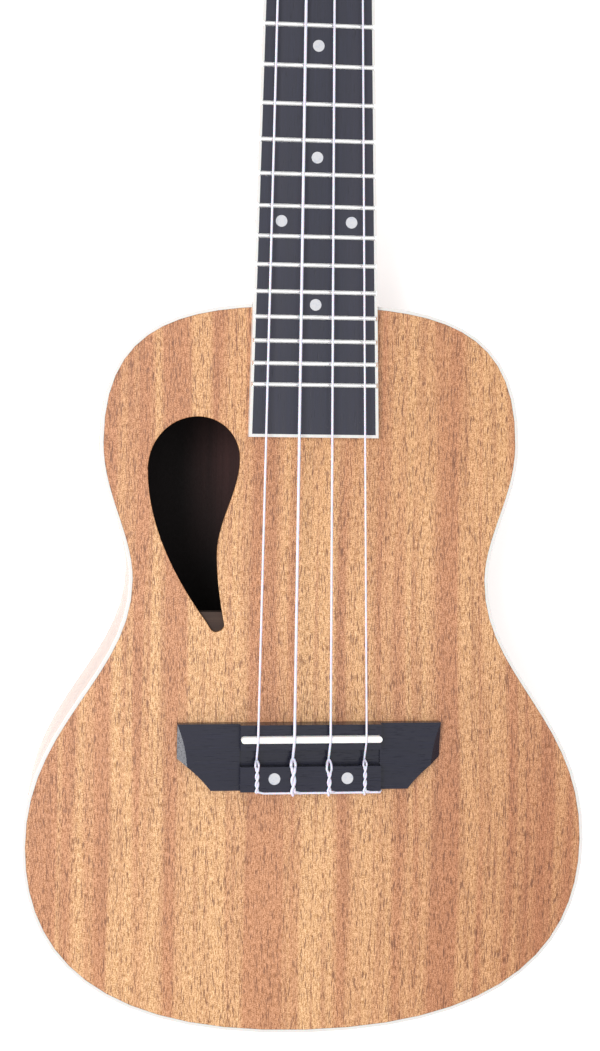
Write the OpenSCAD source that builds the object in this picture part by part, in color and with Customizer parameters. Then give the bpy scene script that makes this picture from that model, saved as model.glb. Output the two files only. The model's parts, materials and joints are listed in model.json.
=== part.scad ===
// Concert ukulele lying on its back.
// +Y runs up the neck, +X is the treble side, +Z leaves the soundboard.
// The origin is on the centre line, under the saddle, on the outer face of the back.
// All sizes are in millimetres.

/* [Scale] */
// Length of the scale, from the nut to the saddle
scale_length = 380; // [376:1:384]
// Number of frets
fret_count = 18; // [16:1:18]
// Distance between the outer strings at the nut
string_spread_nut = 28.5; // [27:0.5:30]
// Distance between the outer strings at the saddle
string_spread_saddle = 41.4; // [40:0.2:43]
// Thickness of the G, C, E and A strings
string_d = [0.85, 1.1, 0.9, 0.75]; // [0.6:0.05:1.1]

/* [Body] */
// Depth of the body, over both plates
body_depth = 64; // [60:1:68]
// Distance from the saddle down to the tail
tail_length = 116; // [112:0.5:118]
// Distance from the saddle up to the neck joint
shoulder_length = 165.5; // [164:0.1:168]
// Width of the lower bout
lower_bout = 218; // [212:1:224]
// Width of the waist
waist = 138.2; // [132:0.2:142]
// Width of the upper bout
upper_bout = 160.8; // [154:0.2:164]
// Thickness of the soundboard
top_t = 2; // [1.8:0.1:2.4]
// Thickness of the back
back_t = 2; // [1.8:0.1:2.6]
// Thickness of the bent sides
side_t = 1.8; // [1.6:0.1:2.2]
// Thickness of the plastic binding around the plates
binding_t = 1.2; // [1:0.1:1.5]
// Height of the plastic binding
binding_h = 3.6; // [3:0.2:5]

/* [Neck] */
// Width of the neck at the nut
nut_width = 37.5; // [36:0.5:39]
// Width of the fretboard at its lower end
board_end_width = 49.5; // [48:0.5:51]
// Distance from the saddle to the fretboard's lower end
board_end = 114.5; // [112:0.5:116]
// Thickness of the fretboard
board_t = 5; // [4.5:0.1:5.5]
// Depth of the neck under the fretboard at the nut
neck_depth_nut = 14.5; // [13:0.5:16]
// Depth of the neck under the fretboard at the heel
neck_depth_heel = 16.5; // [15:0.5:18]
// Length of the curved heel along the neck
heel_length = 46; // [42:1:50]
// Angle that the headstock leans back
head_tilt = 12; // [10:1:14]
// Length of the headstock
head_length = 116; // [112:1:120]
// Thickness of the headstock's wood, without its veneer
head_t = 12; // [11:0.5:13]

/* [Bridge] */
// Length of the bridge, across the strings
bridge_length = 101.5; // [98:0.5:105]
// Width of the bridge, along the strings
bridge_width = 25.6; // [25:0.2:27]
// Height of the bridge's wings
wing_h = 4.4; // [4:0.2:5]
// Height of the raised middle block
block_h = 8; // [7.6:0.1:8.4]
// Length of the raised middle block
block_length = 54; // [52:0.5:56]
// Height of the saddle's crown over the soundboard
saddle_h = 11; // [10.6:0.1:11.4]

/* [Tuners] */
// Number of teeth on each tuner's gear
gear_teeth = 14; // [14:1:14]
// Tooth size, as pitch diameter over teeth
gear_module = 0.75; // [0.75:0.01:0.75]
// Radius of the string posts
post_r = 3; // [2.8:0.1:3.1]

/* [Hidden] */
EPS = 0.01;
SEG = 14;

WOOD_TOP = [0.80, 0.52, 0.31];
WOOD_SIDE = [0.55, 0.28, 0.16];
WOOD_INNER = [0.72, 0.58, 0.42];
WOOD_NECK = [0.50, 0.25, 0.14];
BLACK_WOOD = [0.12, 0.12, 0.14];
IVORY = [0.95, 0.94, 0.90];
PEARL = [0.90, 0.92, 0.95];
DARK_PLASTIC = [0.08, 0.08, 0.09];
NYLON = [0.93, 0.93, 0.96];
STEEL = [0.78, 0.79, 0.80];
BRASS = [0.82, 0.66, 0.35];

// ---- heights and stations -------------------------------------------------
neck_top = body_depth;
board_top = neck_top + board_t;
fret_crown = 1;
fret_width = 2;
tang_t = 0.5;
tang_depth = 2;
slot_gap = 0.05;
nut_length = 4;
nut_front = scale_length;
nut_back = scale_length + nut_length;
string_z_nut = board_top + fret_crown + 0.9;
crown_z = body_depth + saddle_h;
board_binding_t = 1.15;
fit_gap = 0.02;
run_gap = 0.05;

// Distance from the saddle to fret n, in equal temperament
function fret_y(n) = scale_length * pow(2, -n / 12);
function mix(a, b, t) = a + (b - a) * t;
function clamp01(t) = min(1, max(0, t));
function reversed(p) = [for (i = [len(p) - 1:-1:0]) p[i]];
function mirrored(p) = [for (q = p) [-q[0], q[1]]];

// Half width of the fretboard and the neck at y
function board_half(y) =
    mix(nut_width / 2, board_end_width / 2, (scale_length - y) / (scale_length - board_end));

// ---- smooth outlines ------------------------------------------------------
// A knot is [x, y, heading, handle in, handle out], and each stretch is a cubic curve.
function heading(a) = [cos(a), sin(a)];
function knot_point(k) = [k[0], k[1]];
function curve_point(a, b, c, d, t) =
    a * pow(1 - t, 3) + b * 3 * t * pow(1 - t, 2) + c * 3 * t * t * (1 - t) + d * pow(t, 3);
function curve_slope(a, b, c, d, t) =
    (b - a) * pow(1 - t, 2) + (c - b) * 2 * t * (1 - t) + (d - c) * t * t;
function left_of(v) = [-v[1], v[0]] / norm(v);
function stretch_point(k, m, t, inset) =
    let (a = knot_point(k), d = knot_point(m))
    let (b = a + k[4] * heading(k[2]), c = d - m[3] * heading(m[2]))
    curve_point(a, b, c, d, t) + inset * left_of(curve_slope(a, b, c, d, t));
function trace(knots, inset, steps) = [
    for (i = [0:len(knots) - 2], j = [0:steps - 1])
        stretch_point(knots[i], knots[i + 1], j / steps, inset),
    stretch_point(knots[len(knots) - 2], knots[len(knots) - 1], 1, inset)
];

// Right half of the body, from the tail up to the neck joint
lower_bout_y = -42;
waist_y = 60;
upper_bout_y = 112;
body_knots = [
    [0, -tail_length, 0, 0, 82],
    [lower_bout / 2, lower_bout_y, 90, 41, 48],
    [waist / 2, waist_y, 90, 37, 17],
    [upper_bout / 2, upper_bout_y, 90, 20, 48],
    [0, shoulder_length, 180, 47, 0]
];
function body_half(inset) = trace(body_knots, inset, SEG);
function body_outline(inset) =
    let (h = body_half(inset), last = len(h) - 1)
    concat(h, mirrored([for (i = [last - 1:-1:1]) h[i]]));

// Teardrop sound hole, on the bass side of the fretboard's end. A handle is 0.55 of the
// radius where the edge is round, and a third of the stretch along the two long sides.
hole_knots = [
    [-27.5, 106, 90, 12, 9],
    [-43.5, 122, 180, 9, 10.5],
    [-62.5, 102, 270, 11, 21],
    [-40, 44, 306, 21, 2],
    [-36, 40, 8, 2, 1.6],
    [-33, 43, 101, 1.6, 9],
    [-36, 70, 90, 9, 12],
    [-27.5, 106, 90, 12, 9]
];

module body_shape(inset) {
    polygon(body_outline(inset));
}

module body_slab(inset, bottom, height) {
    translate([0, 0, bottom])
        linear_extrude(height)
            body_shape(inset);
}

module body_ring(outer, inner, bottom, height) {
    translate([0, 0, bottom])
        linear_extrude(height)
            difference() {
                body_shape(outer);
                body_shape(inner);
            }
}

// ---- plates, sides and their bindings ------------------------------------
bolt_x = 14;
bolt_y = -15.2;
bolt_hole_r = 1.6;

module bolt_pair() {
    for (side = [-1, 1])
        translate([side * bolt_x, bolt_y, 0])
            children();
}

module soundboard() {
    color(WOOD_TOP)
        difference() {
            body_slab(binding_t, body_depth - top_t, top_t);
            translate([0, 0, body_depth - top_t - 1])
                linear_extrude(top_t + 2)
                    polygon(trace(hole_knots, 0, SEG));
            translate([0, 0, body_depth - top_t - 1])
                bolt_pair()
                    cylinder(r = bolt_hole_r, h = top_t + 2, $fn = 32);
        }
}

module back_plate() {
    color(WOOD_SIDE)
        body_slab(binding_t, 0, back_t);
}

module top_binding() {
    color(IVORY)
        body_ring(0, binding_t, body_depth - binding_h, binding_h);
}

module back_binding() {
    color(IVORY)
        body_ring(0, binding_t, 0, binding_h);
}

dowel_r = 4;
dowel_zs = [18, 42];
dowel_start = shoulder_length - 13;
dowel_length = 24;

module dowel_set(extra) {
    for (z = dowel_zs)
        translate([0, dowel_start, z])
            rotate([-90, 0, 0])
                cylinder(r = dowel_r + extra, h = dowel_length + extra, $fn = 48);
}

// One bent side for x > 0, rebated for both bindings
module side_half() {
    difference() {
        translate([0, 0, back_t])
            linear_extrude(body_depth - top_t - back_t)
                polygon(concat(body_half(0), reversed(body_half(side_t))));
        body_slab_gap(body_depth - binding_h, binding_h + 1);
        body_slab_gap(-1, binding_h + 1);
        dowel_set(run_gap);
    }
}

// Ring that clears the binding out of the side
module body_slab_gap(bottom, height) {
    body_ring(-1, binding_t, bottom, height);
}

module side_treble() {
    color(WOOD_SIDE)
        side_half();
}

module side_bass() {
    color(WOOD_SIDE)
        mirror([1, 0, 0])
            side_half();
}

// ---- inside of the body ---------------------------------------------------
inner_bottom = back_t;
inner_top = body_depth - top_t;
inner_depth = inner_top - inner_bottom;
lining_t = 2.6;
lining_h = 6;
neck_block_w = 52;
neck_block_l = 16;
tail_block_w = 44;
tail_block_l = 10;
block_gap = 0.05;

module neck_block_box(extra) {
    translate([-neck_block_w / 2 - extra, shoulder_length - side_t - neck_block_l - extra, 0])
        cube([neck_block_w + 2 * extra, neck_block_l + 20, body_depth]);
}

module tail_block_box(extra) {
    translate([-tail_block_w / 2 - extra, -tail_length - 10, 0])
        cube([tail_block_w + 2 * extra, tail_block_l + side_t + 10 + extra, body_depth]);
}

module neck_block() {
    color(WOOD_INNER)
        difference() {
            intersection() {
                body_slab(side_t + EPS, inner_bottom, inner_depth);
                neck_block_box(0);
            }
            dowel_set(run_gap);
        }
}

module tail_block() {
    color(WOOD_INNER)
        intersection() {
            body_slab(side_t + EPS, inner_bottom, inner_depth);
            tail_block_box(0);
        }
}

module lining_ring(bottom) {
    difference() {
        body_ring(side_t + EPS, side_t + lining_t, bottom, lining_h);
        neck_block_box(block_gap);
        tail_block_box(block_gap);
    }
}

module linings() {
    color(WOOD_INNER) {
        lining_ring(inner_bottom);
        lining_ring(inner_top - lining_h);
    }
}

// A brace is [y, width, height, half length]
top_brace_list = [
    [136, 6, 8, 66],
    [43.5, 8, 7, 62]
];
back_brace_list = [
    [135, 6, 10, 66],
    [33, 6, 10, 66],
    [-49, 6, 10, 98]
];

module cross_braces() {
    color(WOOD_INNER)
        for (b = top_brace_list)
            translate([-b[3], b[0] - b[1] / 2, inner_top - b[2]])
                cube([2 * b[3], b[1], b[2]]);
}

module back_braces() {
    color(WOOD_INNER)
        for (b = back_brace_list)
            translate([-b[3], b[0] - b[1] / 2, inner_bottom])
                cube([2 * b[3], b[1], b[2]]);
}

patch_size = [66, 38, 1.6];
patch_y = -7;
fan_w = 4;
fan_h = 5;
fan_angle = 7;

module fan_brace(length) {
    translate([-fan_w / 2, -length, inner_top - fan_h])
        cube([fan_w, length, fan_h]);
}

module fan_braces() {
    color(WOOD_INNER) {
        for (side = [-1, 1])
            translate([side * 36, 34, 0])
                rotate([0, 0, side * fan_angle])
                    fan_brace(114);
        translate([0, patch_y - patch_size[1] / 2 - 2, 0])
            fan_brace(66);
    }
}

module bridge_patch() {
    color(WOOD_INNER)
        difference() {
            translate([-patch_size[0] / 2, patch_y - patch_size[1] / 2, inner_top - patch_size[2]])
                cube(patch_size);
            translate([0, 0, inner_top - patch_size[2] - 1])
                bolt_pair()
                    cylinder(r = bolt_hole_r, h = patch_size[2] + 2, $fn = 32);
        }
}

// ---- neck -----------------------------------------------------------------
NECK_SIDE_POINTS = 8;
heel_foot = 14;
heel_foot_half = 9;
heel_cap_t = 1.8;
heel_end = shoulder_length + heel_length;
volute_start = scale_length - 22;
round_power = 2.2;
heel_power = 1.15;
box_power = 7;

function heel_part(y) = clamp01((heel_end - y) / (heel_length - heel_foot));
function shaft_depth(y) =
    mix(neck_depth_nut, neck_depth_heel, clamp01((nut_back - y) / (nut_back - heel_end)));
function neck_depth(y) =
    mix(shaft_depth(y), body_depth - heel_cap_t, pow(heel_part(y), 2.6));
function foot_part(y) = (y - shoulder_length) / heel_foot;
function foot_half(y) = 0.6 + heel_foot_half * sqrt(max(0, 1 - pow(max(0, foot_part(y)), 2)));
function section_power(y) =
    y > volute_start
        ? mix(round_power, box_power, pow(clamp01((y - volute_start) / (nut_back - volute_start)), 2))
        : mix(round_power, heel_power, heel_part(y));

// Cross-section of the neck at y: flat on top, rounded below
function neck_side(y, side, lean) = [
    for (k = [0:NECK_SIDE_POINTS])
        let (a = 90 * k / NECK_SIDE_POINTS, e = 2 / section_power(y), b = foot_half(y))
        let (down = neck_depth(y) * pow(sin(a), e))
        [
            side * (b + (board_half(y) - b) * pow(cos(a), e)),
            y - lean * down * tan(head_tilt),
            neck_top - down
        ]
];
function neck_ring(y, lean) = concat(neck_side(y, 1, lean), reversed(neck_side(y, -1, lean)));

neck_stations = concat(
    [for (k = [0:3]) shoulder_length - 4 + k * (heel_foot + 4) / 3],
    [for (k = [1:10]) shoulder_length + heel_foot + k * (heel_length - heel_foot) / 10],
    [for (k = [1:3]) mix(heel_end, volute_start, k / 3)],
    [for (k = [1:4]) mix(volute_start, nut_back, k / 4)]
);

// Skin of a row of rings, closed at both ends
function ring_faces(rings, size) = concat(
    [for (i = [0:rings - 2], j = [0:size - 1]) [i * size + j, i * size + (j + 1) % size, (i + 1) * size + j]],
    [for (i = [0:rings - 2], j = [0:size - 1])
        [i * size + (j + 1) % size, (i + 1) * size + (j + 1) % size, (i + 1) * size + j]],
    [[for (j = [size - 1:-1:0]) j]],
    [[for (j = [0:size - 1]) (rings - 1) * size + j]]
);

module neck() {
    last = len(neck_stations) - 1;
    rings = [for (i = [0:last]) neck_ring(neck_stations[i], i == last ? 1 : 0)];
    color(WOOD_NECK)
        difference() {
            polyhedron(
                points = [for (r = rings) each r],
                faces = ring_faces(len(rings), len(rings[0]))
            );
            body_slab(0, -1, body_depth + 2);
            dowel_set(run_gap);
        }
}

module neck_dowels() {
    color(WOOD_INNER)
        dowel_set(0);
}

module heel_cap() {
    color(IVORY)
        difference() {
            linear_extrude(heel_cap_t)
                polygon(concat(
                    [[-heel_foot_half - 0.6, shoulder_length - 4], [heel_foot_half + 0.6, shoulder_length - 4]],
                    [for (k = [0:16])
                        let (a = 180 * k / 16)
                        [(heel_foot_half + 0.6) * cos(a), shoulder_length + (heel_foot + 0.6) * sin(a)]]
                ));
            body_slab(0, -1, heel_cap_t + 2);
        }
}

// ---- headstock ------------------------------------------------------------
overlay_t = 1.5;
head_back = -overlay_t - head_t;
head_knots = [
    [nut_width / 2, 0, 90, 0, 8],
    [28.6, 30, 90, 13, 10],
    [27.6, 60, 90, 10, 14],
    [30.5, 104, 90, 12, 7],
    [0, head_length, 180, 20, 0]
];

// Frame of the headstock: y up the head, z out of its face, leaning back from the nut
module head_frame() {
    translate([0, nut_back, neck_top])
        rotate([-head_tilt, 0, 0])
            children();
}

module head_slab(bottom, height) {
    half = trace(head_knots, 0, 10);
    translate([0, 0, bottom])
        linear_extrude(height)
            polygon(concat(half, mirrored([for (i = [len(half) - 2:-1:0]) half[i]])));
}

// Posts of the G and C strings stand on the bass side, and E and A on the treble side
post_x = 17;
low_post_y = 38;
high_post_y = 84;
function post_side(i) = i < 2 ? -1 : 1;
function post_y(i) = (i == 0 || i == 3) ? low_post_y : high_post_y;

module at_post(i) {
    head_frame()
        translate([post_side(i) * post_x, post_y(i), 0])
            mirror([post_side(i) < 0 ? 1 : 0, 0, 0])
                children();
}

bush_r = 4;
bush_depth = 8;
bush_flange_r = 5.2;
bush_flange_h = 1.2;
post_bore_r = post_r + run_gap;
wood_bore_r = post_r + 0.4;

module post_bore() {
    translate([0, 0, head_back - 1])
        cylinder(r = wood_bore_r, h = head_t + overlay_t + 2, $fn = 48);
    translate([0, 0, -bush_depth - fit_gap])
        cylinder(r = bush_r + fit_gap, h = bush_depth + 1, $fn = 48);
}

screw_spots = [[-6.6, 5.6], [7.4, 5.6]];
screw_hole_r = 0.8;
plate_t = 0.9;
plate_back = head_back - plate_t;

module screw_bore(r, depth) {
    for (s = screw_spots)
        translate([s[0], s[1], head_back - 1])
            cylinder(r = r, h = depth + 1, $fn = 24);
}

module headstock() {
    color(WOOD_NECK)
        difference() {
            head_frame()
                head_slab(head_back, head_t);
            for (i = [0:3])
                at_post(i) {
                    post_bore();
                    screw_bore(screw_hole_r + fit_gap, 8);
                }
        }
}

module head_overlay() {
    color(BLACK_WOOD)
        difference() {
            head_frame()
                head_slab(-overlay_t, overlay_t);
            for (i = [0:3])
                at_post(i)
                    post_bore();
        }
}

// ---- fretboard ------------------------------------------------------------
dot_r = 2.2;
dot_t = 1;
side_dot_r = 1;
side_dot_depth = 1;
dot_frets = [5, 7, 10, 12, 15];
double_dot_half = 13.3;
function mid_fret_y(n) = (fret_y(n) + fret_y(n - 1)) / 2;
dot_spots = [
    for (n = dot_frets)
        for (x = n == 12 ? [-double_dot_half, double_dot_half] : [0])
            [x, mid_fret_y(n)]
];

module board_shape(inset) {
    polygon([
        [-board_half(board_end) + inset, board_end + inset],
        [board_half(board_end) - inset, board_end + inset],
        [board_half(nut_front) - inset, nut_front],
        [-board_half(nut_front) + inset, nut_front]
    ]);
}

module dot_set(r) {
    for (p = dot_spots)
        translate([p[0], p[1], board_top - dot_t])
            cylinder(r = r, h = dot_t, $fn = 48);
}

module fretboard() {
    color(BLACK_WOOD)
        difference() {
            translate([0, 0, neck_top])
                linear_extrude(board_t)
                    board_shape(board_binding_t);
            for (n = [1:fret_count])
                translate([-board_end_width, fret_y(n) - tang_t / 2 - slot_gap, board_top - tang_depth - slot_gap])
                    cube([2 * board_end_width, tang_t + 2 * slot_gap, tang_depth + 1]);
            dot_set(dot_r + fit_gap);
        }
}

module side_dot_set(r) {
    for (n = dot_frets)
        translate([-board_half(mid_fret_y(n)) - 2, mid_fret_y(n), neck_top + board_t / 2])
            rotate([0, 90, 0])
                cylinder(r = r, h = 2 + side_dot_depth, $fn = 32);
}

module board_rim() {
    translate([0, 0, neck_top])
        linear_extrude(board_t)
            difference() {
                board_shape(0);
                board_shape(board_binding_t);
                translate([-nut_width, nut_front - EPS])
                    square([2 * nut_width, 1]);
            }
}

module fretboard_binding() {
    color(IVORY)
        difference() {
            board_rim();
            side_dot_set(side_dot_r + fit_gap);
        }
}

module position_dots() {
    color(PEARL)
        dot_set(dot_r);
}

module side_dots() {
    color(DARK_PLASTIC)
        intersection() {
            side_dot_set(side_dot_r);
            translate([0, 0, neck_top])
                linear_extrude(board_t)
                    board_shape(0);
        }
}

module fret(n) {
    y = fret_y(n);
    half = board_half(y) - 0.15;
    tang_half = board_half(y) - board_binding_t - 0.1;
    bevel = 0.7;
    intersection() {
        translate([-half, y, board_top])
            rotate([90, 0, 90])
                linear_extrude(2 * half)
                    intersection() {
                        circle(r = fret_width / 2, $fn = 32);
                        translate([-fret_width, 0])
                            square([2 * fret_width, fret_crown]);
                    }
        translate([0, y + fret_width, board_top])
            rotate([90, 0, 0])
                linear_extrude(2 * fret_width)
                    polygon([[-half, 0], [half, 0], [half - bevel, fret_crown], [-half + bevel, fret_crown]]);
    }
    translate([-tang_half, y - tang_t / 2, board_top - tang_depth])
        cube([2 * tang_half, tang_t, tang_depth]);
}

module frets() {
    color(STEEL)
        for (n = [1:fret_count])
            fret(n);
}

// ---- strings --------------------------------------------------------------
function string_r(i) = string_d[i] / 2;
function nut_x(i) = (i - 1.5) * string_spread_nut / 3;
function saddle_x(i) = (i - 1.5) * string_spread_saddle / 3;

block_front = 5.4;
tie_front = -10.6;
tie_back = block_front - bridge_width;
tie_hole_z = body_depth + 4.5;
tie_hole_r = 0.8;
winding_z = 5;
string_end_gap = 0.25;

function head_point(x, y, z) = [
    x,
    nut_back + y * cos(head_tilt) + z * sin(head_tilt),
    neck_top - y * sin(head_tilt) + z * cos(head_tilt)
];
function wrap_x(i) = post_side(i) * (post_x - post_r - string_r(i) - string_end_gap);
function string_post_end(i) = head_point(wrap_x(i), post_y(i), winding_z);
// Where the string leaves the nut, straight on towards its post
function nut_exit(i) =
    let (a = [nut_x(i), nut_front, string_z_nut], b = string_post_end(i))
    mix(a, b, nut_length / (b[1] - a[1]));

// Tube with a ring at each point, for routes that never turn along X
function tube_ring(p, t, r, n) =
    let (u = cross(t, [1, 0, 0]) / norm(cross(t, [1, 0, 0])))
    let (v = cross(t, u) / norm(t))
    [for (k = [0:n - 1]) p + r * (cos(360 * k / n) * u + sin(360 * k / n) * v)];
function tube_rings(p, r, n) = [
    for (i = [0:len(p) - 1])
        let (a = p[max(0, i - 1)], b = p[min(len(p) - 1, i + 1)])
        tube_ring(p[i], b - a, r, n)
];

module tube(path, r, n) {
    rings = tube_rings(path, r, n);
    polyhedron(points = [for (ring = rings) each ring], faces = ring_faces(len(rings), n));
}

function string_route(i) =
    let (r = string_r(i), x = saddle_x(i))
    let (over = body_depth + block_h + r + 0.05, behind = tie_back - r - 0.1)
    [
        string_post_end(i),
        nut_exit(i),
        [nut_x(i), nut_front, string_z_nut],
        [x, 0.6, crown_z + r + 0.03],
        [x, -0.6, crown_z + r - 0.05],
        [x, tie_front + 0.5, tie_hole_z + 0.3],
        [x, tie_front - 0.5, tie_hole_z],
        [x, tie_back + 0.2, tie_hole_z],
        [x, behind - 0.3, tie_hole_z + 0.7],
        [x, behind - 0.3, over - 1],
        [x, behind + 0.6, over + 0.1],
        [x, mix(tie_front, tie_back, 0.5), over],
        [x, tie_front - 0.2, over]
    ];

module string_body(i) {
    color(NYLON)
        tube(string_route(i), string_r(i), 8);
}

module nut() {
    slot_gap_side = 0.06;
    drop = atan2(string_z_nut - nut_exit(0)[2], nut_length);
    color(IVORY)
        difference() {
            translate([-nut_width / 2, 0, 0])
                rotate([90, 0, 90])
                    linear_extrude(nut_width)
                        polygon([
                            [nut_front, neck_top],
                            [nut_back, neck_top],
                            [nut_back, string_z_nut - 1.2],
                            [nut_back - 1.2, string_z_nut + 0.1],
                            [nut_front + 0.4, string_z_nut + 0.6],
                            [nut_front, string_z_nut + 0.4]
                        ]);
            for (i = [0:3])
                translate([nut_x(i), nut_front, string_z_nut])
                    rotate([-drop, 0, -atan2(nut_exit(i)[0] - nut_x(i), nut_length)]) {
                        rotate([-90, 0, 0])
                            translate([0, 0, -1])
                                cylinder(r = string_r(i) + slot_gap_side, h = nut_length + 3, $fn = 24);
                        translate([-string_r(i) - slot_gap_side, -1, 0])
                            cube([string_d[i] + 2 * slot_gap_side, nut_length + 3, 3]);
                    }
        }
}

// ---- bridge ---------------------------------------------------------------
block_back = tie_back;
saddle_t = 2.6;
saddle_depth = 5;
trough_front = -4.3;
trough_z = body_depth + 3.2;
bolt_head_r = 2.1;
bolt_head_h = 1.6;
bolt_r = 1.5;
bridge_dot_r = 2.25;
bridge_dot_t = 1;
bolt_head_top = body_depth + block_h - bridge_dot_t;
bolt_bottom = inner_top - patch_size[2] - 4.5;
corner_cut = 12.8;
corner_drop = 12;
corner_bow = [1.6, 2.4];

// The wings' lower corners are scooped away along a shallow curve
module wing_shape() {
    half = bridge_length / 2;
    difference() {
        translate([-half, block_back])
            square([bridge_length, bridge_width]);
        for (side = [-1, 1])
            mirror([side < 0 ? 1 : 0, 0, 0])
                polygon(concat(
                    [[half + 1, block_back - 1], [half + 1, block_back + corner_drop]],
                    [for (k = [0:8])
                        let (t = k / 8)
                        [half - corner_cut * t - corner_bow[0] * t * (1 - t),
                         block_back + corner_drop * (1 - t) + corner_bow[1] * t * (1 - t)]],
                    [[half - corner_cut, block_back - 1]]
                ));
    }
}

// Shallow scoop that thins each end of the bridge, ground by a large drum
module end_scoop(side) {
    drum_r = 75;
    drum_sink = 0.35;
    drum_skew = 14;
    drum_slope = 42;
    drum_mid = 0.3 * bridge_width;
    mirror([side < 0 ? 1 : 0, 0, 0])
        translate([bridge_length / 2, block_front, body_depth + wing_h])
            rotate([0, 0, -drum_skew])
                rotate([0, drum_slope, 0])
                    translate([-drum_r, -drum_mid, drum_r - drum_sink])
                        rotate([0, 90, 0])
                            cylinder(r = drum_r, h = 2 * drum_r, $fn = 180);
}

// Stadium outline of the saddle, from two discs and a bar
module saddle_plan(extra) {
    half = block_length / 2 - saddle_t / 2 - 0.1;
    for (side = [-1, 1])
        translate([side * half, 0])
            circle(r = saddle_t / 2 + extra, $fn = 32);
    square([2 * half, saddle_t + 2 * extra], center = true);
}

module bridge() {
    color(BLACK_WOOD)
        difference() {
            union() {
                difference() {
                    translate([0, 0, body_depth])
                        linear_extrude(wing_h)
                            wing_shape();
                    for (side = [-1, 1])
                        end_scoop(side);
                }
                translate([-block_length / 2, block_back, body_depth])
                    cube([block_length, bridge_width, block_h]);
            }
            translate([-block_length / 2, tie_front, trough_z])
                cube([block_length, trough_front - tie_front, block_h]);
            translate([0, 0, crown_z - saddle_h + block_h - saddle_depth])
                linear_extrude(block_h)
                    saddle_plan(fit_gap);
            for (i = [0:3])
                translate([saddle_x(i), tie_front + 1, tie_hole_z])
                    rotate([90, 0, 0])
                        cylinder(r = tie_hole_r, h = bridge_width, $fn = 24);
            translate([0, 0, body_depth - 1])
                bolt_pair() {
                    cylinder(r = bolt_hole_r, h = block_h + 2, $fn = 32);
                    translate([0, 0, 1 + block_h - bridge_dot_t - bolt_head_h])
                        cylinder(r = bridge_dot_r + fit_gap, h = block_h, $fn = 48);
                }
        }
}

module saddle() {
    bottom = body_depth + block_h - saddle_depth;
    color(IVORY)
        intersection() {
            translate([0, 0, bottom])
                linear_extrude(crown_z - bottom)
                    saddle_plan(0);
            translate([-block_length, 0, 0])
                rotate([90, 0, 90])
                    linear_extrude(2 * block_length)
                        polygon(concat(
                            [[-saddle_t / 2, bottom], [saddle_t / 2, bottom]],
                            [for (k = [0:8])
                                let (a = 180 * k / 8)
                                [saddle_t / 2 * cos(a), crown_z - 0.8 + 0.8 * sin(a)]]
                        ));
        }
}

module bridge_bolts() {
    color(STEEL)
        bolt_pair() {
            translate([0, 0, bolt_bottom])
                cylinder(r = bolt_r, h = bolt_head_top - bolt_head_h - bolt_bottom + EPS, $fn = 32);
            translate([0, 0, bolt_head_top - bolt_head_h])
                cylinder(r = bolt_head_r, h = bolt_head_h, $fn = 32);
        }
}

module bridge_nuts() {
    color(STEEL)
        translate([0, 0, inner_top - patch_size[2]])
            mirror([0, 0, 1])
                bolt_pair()
                    difference() {
                        union() {
                            cylinder(r = 3.5, h = 0.5, $fn = 32);
                            cylinder(r = 3, h = 2.9, $fn = 6);
                        }
                        translate([0, 0, -1])
                            cylinder(r = bolt_r + fit_gap, h = 6, $fn = 32);
                    }
}

module bridge_dots() {
    color(PEARL)
        translate([0, 0, body_depth + block_h - bridge_dot_t])
            bolt_pair()
                cylinder(r = bridge_dot_r, h = bridge_dot_t, $fn = 48);
}

// ---- tuners ---------------------------------------------------------------
// Each tuner's frame: z along the post, x out towards the button, y up the head.
gear_r = gear_teeth * gear_module / 2;
gear_tip_r = gear_r + 0.6;
gear_root_r = gear_r - 0.75;
gear_t = 3;
worm_pitch = PI * gear_module;
worm_r = 1.95;
worm_tip_r = 2.5;
worm_core_r = 1.2;
worm_y = -(gear_r + worm_r);
worm_z = plate_back - 0.35 - worm_tip_r;
gear_bottom = worm_z - gear_t / 2;
tooth_half_tip = 0.28;
tooth_half_root = 0.62;
worm_turns = 2.7;
worm_steps = 24;
shaft_r = 1.5;
tab_t = 0.9;
tab_in = 4.3;
tab_r = 2.7;
button_x = 22.5;
button_r = 8.5;
button_t = 7;
button_bore = 7;
spigot_r = 2;
gear_screw_r = 1;
post_top = 13;

module tuner_plate() {
    plate_x = [-9, 9.6];
    plate_y = [-11.2, 8];
    difference() {
        union() {
            translate([plate_x[0], plate_y[0], plate_back])
                cube([plate_x[1] - plate_x[0], plate_y[1] - plate_y[0], plate_t]);
            for (x = [-tab_in - tab_t, tab_in])
                translate([x, worm_y, 0]) {
                    translate([0, -tab_r, worm_z])
                        cube([tab_t, 2 * tab_r, plate_back - worm_z + EPS]);
                    translate([0, 0, worm_z])
                        rotate([0, 90, 0])
                            cylinder(r = tab_r, h = tab_t, $fn = 48);
                }
        }
        translate([0, 0, plate_back - 1])
            cylinder(r = post_bore_r, h = plate_t + 2, $fn = 48);
        translate([-12, worm_y, worm_z])
            rotate([0, 90, 0])
                cylinder(r = shaft_r + run_gap, h = 24, $fn = 48);
        for (s = screw_spots)
            translate([s[0], s[1], plate_back - 1])
                cylinder(r = screw_hole_r + run_gap, h = plate_t + 2, $fn = 24);
    }
}

module tuner_plates() {
    color(STEEL)
        for (i = [0:3])
            at_post(i)
                tuner_plate();
}

module tuner_bushings() {
    color(STEEL)
        for (i = [0:3])
            at_post(i)
                difference() {
                    union() {
                        translate([0, 0, -bush_depth])
                            cylinder(r = bush_r, h = bush_depth + EPS, $fn = 48);
                        cylinder(r = bush_flange_r, h = bush_flange_h, $fn = 48);
                    }
                    translate([0, 0, -bush_depth - 1])
                        cylinder(r = post_bore_r, h = bush_depth + bush_flange_h + 2, $fn = 48);
                }
}

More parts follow.
